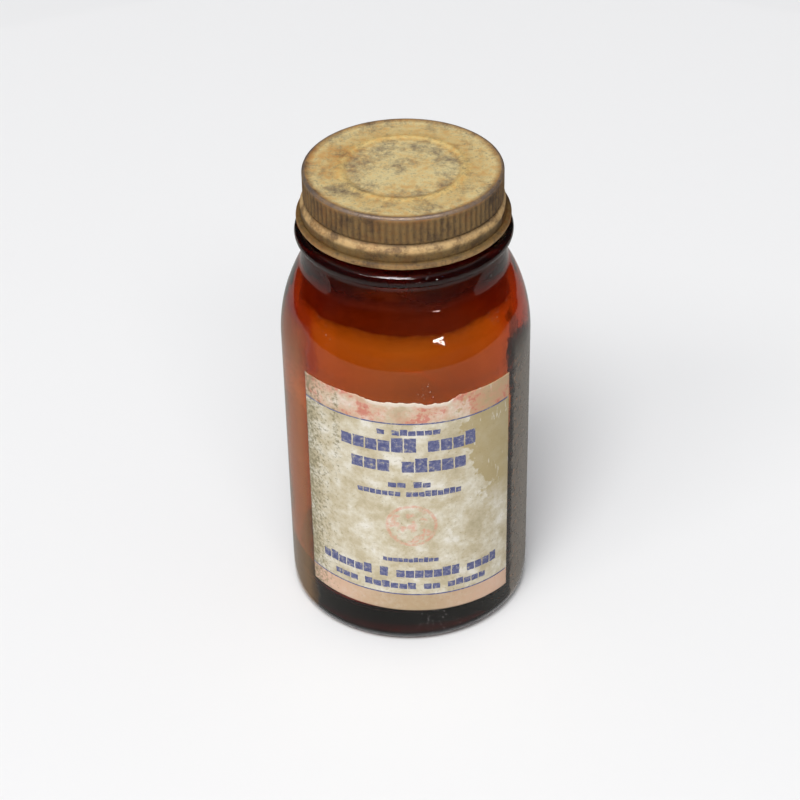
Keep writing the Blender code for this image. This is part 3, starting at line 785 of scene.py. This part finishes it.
def aged_paper():
    """Litho-printed paper, abraded and foxed: cream clouds where the face has worn off, tan where the old
    surface is left, worn pink printed bands at head and foot, mould along the left edge, and white fibres
    where the top edge is torn."""
    made, tree, shader = new_finish("aged_paper")
    flat = node(tree, "ShaderNodeUVMap", uv_map="print").outputs["UV"]  # millimetres on the label
    parts = node(tree, "ShaderNodeSeparateXYZ", {0: flat})
    across, up = parts.outputs["X"], parts.outputs["Y"]

    cloud = node(
        tree, "ShaderNodeTexNoise", {"Vector": flat, "Scale": 0.17, "Detail": 10.0, "Roughness": 0.68}
    )
    shade = node(
        tree,
        "ShaderNodeValToRGB",
        {0: cloud},
        stops=((0.34, "#ada183"), (0.45, "#bdb195"), (0.54, "#cbc3ae"), (0.63, "#dad5c9")),
    )
    fleck = node(tree, "ShaderNodeTexNoise", {"Vector": flat, "Scale": 1.3, "Detail": 7.0, "Roughness": 0.7})
    foxed = node(
        tree, "ShaderNodeMapRange", {"Value": fleck, "From Min": 0.55, "From Max": 0.72, "To Max": 0.6}
    )
    shade = node(tree, "ShaderNodeMix", {0: foxed, 6: shade, 7: "#8c7f5c"}, data_type="RGBA")

    # the old tan surface left on the upper right: a sharp, wandering edge, scratched through
    wander = node(
        tree, "ShaderNodeTexNoise", {"Vector": flat, "Scale": 0.22, "Detail": 8.0, "Roughness": 0.6}
    )
    wander = node(
        tree, "ShaderNodeMapRange",
        {"Value": wander, "From Min": 0.3, "From Max": 0.7, "To Min": -3.6, "To Max": 3.6}
    )
    side = node(tree, "ShaderNodeMath", {0: across, 1: wander}, operation="ADD")
    lower = node(tree, "ShaderNodeMapRange", {"Value": up, "From Min": 38.0, "From Max": 33.0, "To Max": 4.5})
    side = node(tree, "ShaderNodeMath", {0: side, 1: lower}, operation="SUBTRACT")
    right = node(tree, "ShaderNodeMapRange", {"Value": side, "From Min": 11.6, "From Max": 12.3})
    above = node(tree, "ShaderNodeMapRange", {"Value": up, "From Min": 22.0, "From Max": 30.0})
    skin = node(tree, "ShaderNodeMath", {0: right, 1: above}, operation="MULTIPLY")
    scratch_map = node(
        tree, "ShaderNodeMapping", {"Vector": flat, "Rotation": (0, 0, 0.9), "Scale": (1.0, 0.25, 1.0)}
    )
    scratch = node(
        tree, "ShaderNodeTexNoise", {"Vector": scratch_map, "Scale": 0.9, "Detail": 3.0, "Roughness": 0.6}
    )
    scratch = node(tree, "ShaderNodeMapRange", {"Value": scratch, "From Min": 0.66, "From Max": 0.62})
    skin = node(tree, "ShaderNodeMath", {0: skin, 1: scratch}, operation="MULTIPLY")
    tan = node(tree, "ShaderNodeMix", {0: 0.85, 6: shade, 7: "#a8966a"}, data_type="RGBA")
    shade = node(tree, "ShaderNodeMix", {0: skin, 6: shade, 7: tan}, data_type="RGBA")

    # worn pink print above the upper rule and below the lower one
    wear = node(tree, "ShaderNodeTexNoise", {"Vector": flat, "Scale": 0.9, "Detail": 9.0, "Roughness": 0.72})
    patches = node(tree, "ShaderNodeTexNoise", {"Vector": flat, "Scale": 0.16, "Detail": 2.0})
    head = node(tree, "ShaderNodeMath", {0: up, 1: 48.9}, operation="GREATER_THAN")
    red = node(tree, "ShaderNodeMath", {0: wear, 1: patches}, operation="ADD")
    blush = node(
        tree, "ShaderNodeMapRange",
        {"Value": red, "From Min": 0.80, "From Max": 1.12, "To Min": 0.12, "To Max": 0.62}
    )
    blush = node(tree, "ShaderNodeMath", {0: blush, 1: head}, operation="MULTIPLY")
    shade = node(tree, "ShaderNodeMix", {0: blush, 6: shade, 7: "#cf8f78"}, data_type="RGBA")
    deep = node(tree, "ShaderNodeMapRange", {"Value": red, "From Min": 1.06, "From Max": 1.16, "To Max": 0.6})
    deep = node(tree, "ShaderNodeMath", {0: deep, 1: head}, operation="MULTIPLY")
    shade = node(tree, "ShaderNodeMix", {0: deep, 6: shade, 7: "#b8574a"}, data_type="RGBA")
    foot = node(tree, "ShaderNodeMath", {0: up, 1: 4.5}, operation="LESS_THAN")
    ends = node(tree, "ShaderNodeMath", {0: across}, operation="ABSOLUTE")
    ends = node(tree, "ShaderNodeMapRange", {"Value": ends, "From Min": 4.0, "From Max": 18.0})
    band = node(tree, "ShaderNodeMix", {0: ends, 6: "#ae9372", 7: "#d0aa92"}, data_type="RGBA")
    pink = node(
        tree, "ShaderNodeMapRange",
        {"Value": wear, "From Min": 0.25, "From Max": 0.6, "To Min": 0.6, "To Max": 0.95}
    )
    pink = node(tree, "ShaderNodeMath", {0: pink, 1: foot}, operation="MULTIPLY")
    shade = node(tree, "ShaderNodeMix", {0: pink, 6: shade, 7: band}, data_type="RGBA")

    # faded ring ornament, 10.6 mm across, its middle mottled away
    centred = node(tree, "ShaderNodeVectorMath", {0: flat, 1: (0.3, 22.9, 0.0)}, operation="SUBTRACT")
    reach = node(tree, "ShaderNodeVectorMath", {0: centred}, operation="LENGTH").outputs["Value"]
    ring = node(tree, "ShaderNodeMath", {0: reach, 1: 5.0}, operation="SUBTRACT")
    ring = node(tree, "ShaderNodeMath", {0: ring}, operation="ABSOLUTE")
    ring = node(tree, "ShaderNodeMapRange", {"Value": ring, "From Min": 0.42, "From Max": 0.25})
    within = node(tree, "ShaderNodeMapRange", {"Value": reach, "From Min": 4.7, "From Max": 4.4})
    motif = node(tree, "ShaderNodeTexNoise", {"Vector": flat, "Scale": 0.42, "Detail": 3.0})
    motif = node(tree, "ShaderNodeMapRange", {"Value": motif, "From Min": 0.50, "From Max": 0.56})
    within = node(tree, "ShaderNodeMath", {0: within, 1: motif}, operation="MULTIPLY")
    stamp = node(tree, "ShaderNodeMath", {0: ring, 1: within}, operation="MAXIMUM")
    faded = node(
        tree, "ShaderNodeMapRange", {"Value": wear, "From Min": 0.36, "From Max": 0.58, "To Max": 0.6}
    )
    stamp = node(tree, "ShaderNodeMath", {0: stamp, 1: faded}, operation="MULTIPLY")
    shade = node(tree, "ShaderNodeMix", {0: stamp, 6: shade, 7: "#cf8570"}, data_type="RGBA")

    # mould: grey-green freckles, thick along the left edge and in one streak beside it
    left = node(
        tree, "ShaderNodeMapRange",
        {"Value": across, "From Min": -14.0, "From Max": -22.5, "To Min": -0.12, "To Max": 0.10}
    )
    streak = node(tree, "ShaderNodeMath", {0: across, 1: 15.2}, operation="ADD")
    streak = node(tree, "ShaderNodeMath", {0: streak}, operation="ABSOLUTE")
    streak = node(
        tree, "ShaderNodeMapRange", {"Value": streak, "From Min": 1.5, "From Max": 0.3, "To Max": 0.14}
    )
    tall = node(tree, "ShaderNodeMapRange", {"Value": up, "From Min": 30.0, "From Max": 40.0})
    streak = node(tree, "ShaderNodeMath", {0: streak, 1: tall}, operation="MULTIPLY")
    level = node(tree, "ShaderNodeMath", {0: fleck, 1: left}, operation="ADD")
    level = node(tree, "ShaderNodeMath", {0: level, 1: streak}, operation="ADD")
    mould = node(
        tree, "ShaderNodeMapRange", {"Value": level, "From Min": 0.50, "From Max": 0.66, "To Max": 0.8}
    )
    shade = node(tree, "ShaderNodeMix", {0: mould, 6: shade, 7: "#716a4c"}, data_type="RGBA")

    torn = node(tree, "ShaderNodeAttribute", attribute_name="torn").outputs["Fac"]
    torn = node(tree, "ShaderNodeMath", {0: torn, 1: wear}, operation="ADD")
    torn = node(
        tree, "ShaderNodeMapRange", {"Value": torn, "From Min": 0.95, "From Max": 1.25, "To Max": 0.75}
    )
    shade = node(tree, "ShaderNodeMix", {0: torn, 6: shade, 7: "#d8cfc0"}, data_type="RGBA")

    bump = node(tree, "ShaderNodeBump", {"Height": wear, "Strength": 0.35, "Distance": 0.08 * MM})
    feed(tree, shader, {"Base Color": shade, "Roughness": 0.72, "Normal": bump})
    return made


def printing_ink():
    """Navy litho ink, rubbed thin so that the paper shows through it in flecks."""
    made, tree, shader = new_finish("printing_ink")
    flat = node(tree, "ShaderNodeUVMap", uv_map="print").outputs["UV"]
    rub = node(tree, "ShaderNodeTexNoise", {"Vector": flat, "Scale": 1.1, "Detail": 8.0, "Roughness": 0.7})
    shade = node(
        tree, "ShaderNodeValToRGB", {0: rub}, stops=((0.40, "#484c78"), (0.54, "#64688c"), (0.66, "#a9a18f"))
    )
    feed(tree, shader, {"Base Color": shade, "Roughness": 0.6})
    return made


def wrap(shape, lift):
    """Bends a flat shape, x and y in metres on the label, onto the bottle; keeps x and y as its print map."""
    uv = shape.loops.layers.uv.new("print")
    for face in shape.faces:
        for loop in face.loops:
            loop[uv].uv = (loop.vert.co.x / MM, loop.vert.co.y / MM)
    for vertex in shape.verts:
        x, y = vertex.co.x, vertex.co.y
        vertex.co = label_point(x, y, paper_lift(x, y) + lift)
    shape.normal_update()
    face = next(iter(shape.faces))
    middle = face.calc_center_median()
    if face.normal.dot(Vector((middle.x, middle.y, 0))) < 0:
        bmesh.ops.reverse_faces(shape, faces=shape.faces)


def make_label():
    shape = bmesh.new()
    bmesh.ops.create_grid(shape, x_segments=LABEL_COLUMNS, y_segments=LABEL_ROWS, size=1.0)
    torn = shape.verts.layers.float.new("torn")
    for vertex in shape.verts:
        x = vertex.co.x * LABEL_HALF
        top = torn_top(x)
        y = (vertex.co.y + 1) / 2 * top
        vertex[torn] = torn_away(x) * smooth(1 - (top - y) / (1.8 * MM))
        vertex.co = (x, y, 0)
    wrap(shape, 0.0)
    made = piece("paper_label", shape, aged_paper(), "bottle", "front_label")
    thick = made.modifiers.new("paper", "SOLIDIFY")
    thick.thickness = PAPER_THICKNESS
    thick.offset = -1.0
    return made


def ink_block(shape, left, right, low, high):
    """One patch of ink, finely divided so that it follows the paper, with slightly uneven edges."""
    size = Vector((right - left, high - low))
    across = max(2, round(size.x / (0.3 * MM)))
    up = max(1, round(size.y / (0.3 * MM)))
    centre = Matrix.Translation(((left + right) / 2, (low + high) / 2, 0))
    spread = Matrix.Diagonal((size.x / 2, size.y / 2, 1, 1))
    made = bmesh.ops.create_grid(shape, x_segments=across, y_segments=up, size=1.0, matrix=centre @ spread)
    for vertex in made["verts"]:
        shake = noise.noise_vector(vertex.co / (0.6 * MM)) * min(0.12 * MM, 0.12 * size.y)
        vertex.co += Vector((shake.x, shake.y, 0))


def ink_row(shape, foot, half_width, height, words):
    """A row of plain blocks in word-like groups; it stands for a line of type without spelling anything."""
    units = sum(words) + 0.8 * (len(words) - 1)
    unit = 2 * half_width / units
    x = -half_width
    for word in words:
        for _ in range(word):
            tall = random.choice((0.76, 0.78, 0.80, 0.98))
            ink_block(shape, x + 0.04 * unit, x + 0.93 * unit, foot, foot + height * tall)
            x += unit
        x += 0.8 * unit


def make_print():
    random.seed(7)
    shape = bmesh.new()
    for height in RULES:
        ink_block(shape, -LABEL_HALF, LABEL_HALF - 0.4 * MM, height - RULE_HALF, height + RULE_HALF)
    for row in TYPE_ROWS:
        ink_row(shape, *row)
    wrap(shape, INK_THICKNESS)
    return piece("label_print", shape, printing_ink(), "bottle", None)


# ---------------------------------------------------------------- table and lights


def flat_panel(name, corners, finish):
    shape = bmesh.new()
    shape.faces.new([shape.verts.new(corner) for corner in corners])
    made = object_from(name, shape, finish)
    return made


def plain(name, code, roughness):
    made, tree, shader = new_finish(name)
    feed(tree, shader, {"Base Color": code, "Roughness": roughness})
    return made


def mirrored_ring(name, outline, finish):
    """A ring turned from (r, z) points, round the bottle, which only reflections see."""
    shape = bmesh.new()
    chain = [shape.verts.new((r, 0.0, z)) for r, z in outline]
    edges = [shape.edges.new(pair) for pair in zip(chain, chain[1:])]
    around = {"cent": (0, 0, 0), "axis": (0, 0, 1), "angle": 2 * math.pi, "steps": 96, "use_merge": True}
    bmesh.ops.spin(shape, geom=chain + edges, **around)
    made = object_from(name, shape, finish)
    made.visible_camera = False
    made.visible_shadow = False
    made.visible_diffuse = False
    made.visible_transmission = False


def make_table():
    """A wide pale table; mirrored in the glass it is dimmer and ends about 0.3 m from the bottle, as on a
    small table in a dark room."""
    white = plain("table_white", "#ededee", 0.6)
    size = 3.0
    flat_panel("table", [(-size, -size, 0), (size, -size, 0), (size, size, 0), (-size, size, 0)], white)
    foot, near, far, high = 0.027, 0.305, 0.9, 1.0
    dim, dark = plain("dim_table", "#a3a19d", 0.9), plain("dark_room", "#0d0b0a", 0.9)
    mirrored_ring("dim_floor", [(foot, 0.4 * MM), (near, 0.4 * MM)], dim)
    mirrored_ring("dark_surround", [(near, 0.5 * MM), (far, 0.5 * MM), (far, high)], dark)


def softbox(name, centre, aim, size, power, colour):
    light = bpy.data.lights.new(name, "AREA")
    light.shape = "RECTANGLE"
    light.size, light.size_y = size
    light.energy = power
    light.color = linear(colour)[:3]
    made = bpy.data.objects.new(name, light)
    made.location = centre
    made.rotation_euler = (Vector(aim) - Vector(centre)).to_track_quat("-Z", "Y").to_euler()
    bpy.context.scene.collection.objects.link(made)
    return made


def make_lights():
    """A wide soft key from the front left, high enough that no shoulder mirrors it, an even soft sun from
    the same side and a little light from all round."""
    softbox("key", (-0.35, -1.25, 1.5), (0, 0, 0.05), (2.4, 0.45), 23.0, "#fffdfa")
    sun = bpy.data.lights.new("sun", "SUN")
    sun.angle = math.radians(25)
    sun.energy = 1.75
    made = bpy.data.objects.new("sun", sun)
    made.rotation_euler = Vector((0.15, 0.55, -1.0)).to_track_quat("-Z", "Y").to_euler()
    bpy.context.scene.collection.objects.link(made)
    # a window far off at the right, low and small, and a cooler one higher up: only reflections show them
    for name, centre, size, power, colour in (
        ("low_window", (0.41, -0.68, 0.145), (0.12, 0.020), 0.30, "#ffffff"),
        ("high_window", (0.41, -0.52, 0.43), (0.07, 0.03), 0.10, "#a8bcff"),
    ):
        lamp = softbox(name, centre, (0.0, 0.0, 0.08), size, power, colour)
        lamp.visible_diffuse = False
        lamp.visible_transmission = False
    world = bpy.data.worlds.new("room")
    world.use_nodes = True
    world.node_tree.nodes["Background"].inputs["Color"].default_value = linear("#dfe2e6")
    world.node_tree.nodes["Background"].inputs["Strength"].default_value = 0.36
    bpy.context.scene.world = world


# ---------------------------------------------------------------- camera

CAMERA_PLACE = (0.0, -364.5 * MM, 308.7 * MM)
CAMERA_LENS = 96.1
CAMERA_PITCH, CAMERA_YAW, CAMERA_ROLL = 35.84, -0.23, -1.14  # degrees down, to the right, anticlockwise


def make_camera():
    data = bpy.data.cameras.new("camera")
    data.sensor_width = 36.0
    data.lens = CAMERA_LENS
    data.clip_start = 0.01
    made = bpy.data.objects.new("camera", data)
    bpy.context.scene.collection.objects.link(made)
    pitch, yaw, roll = map(math.radians, (CAMERA_PITCH, CAMERA_YAW, CAMERA_ROLL))
    look = Vector((math.sin(yaw) * math.cos(pitch), math.cos(yaw) * math.cos(pitch), -math.sin(pitch)))
    turn = look.to_track_quat("-Z", "Y").to_matrix().to_4x4() @ Matrix.Rotation(roll, 4, "Z")
    made.matrix_world = Matrix.Translation(CAMERA_PLACE) @ turn
    bpy.context.scene.camera = made


make_camera()
make_glass()
make_cap()
make_disc("liner_disc", "cap_liner", pulpboard())
make_disc("facing_disc", "liner_facing", waxed_paper())
make_label()
make_print()
make_table()
make_lights()
bpy.context.scene.view_settings.view_transform = "Standard"
